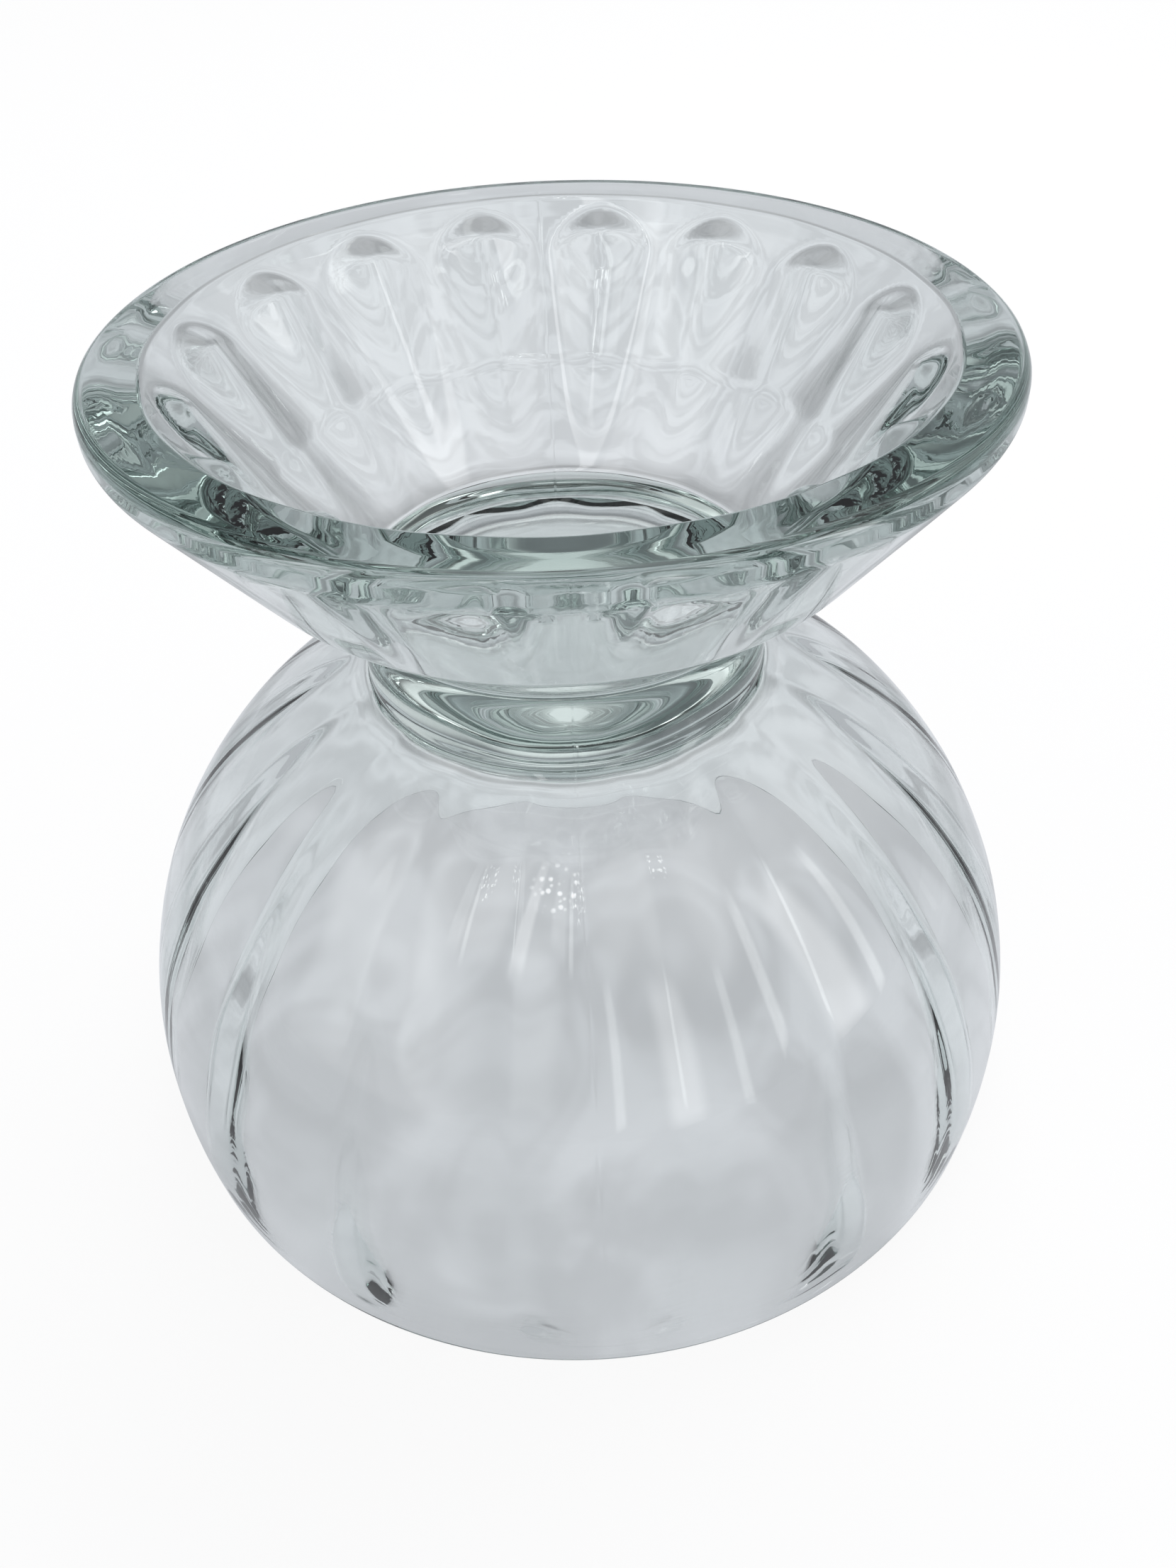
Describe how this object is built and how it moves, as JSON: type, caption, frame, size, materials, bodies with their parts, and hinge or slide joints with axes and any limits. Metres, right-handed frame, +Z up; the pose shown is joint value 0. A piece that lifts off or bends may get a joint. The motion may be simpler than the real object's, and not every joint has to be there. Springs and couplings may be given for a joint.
{
  "type": "floating candle bowl",
  "caption": "Clear glass bowl for a floating candle: a thick flared cup, fluted inside, on a solid waist over a thin round bowl that rests on its mouth.",
  "frame": {"origin": "centre of the globe mouth's rest face, on the bowl's axis", "axes": "+Z up the bowl's axis, from the globe's mouth to the cup's rim; +X and -Y each through the middle of a flute"},
  "size_m": [0.146, 0.146, 0.128],
  "materials": {
    "clear_glass": "polished"
  },
  "bodies": {
    "root": {"globe_bowl": "clear_glass", "waist": "clear_glass", "flared_cup": "clear_glass"}
  },
  "joints": []
}
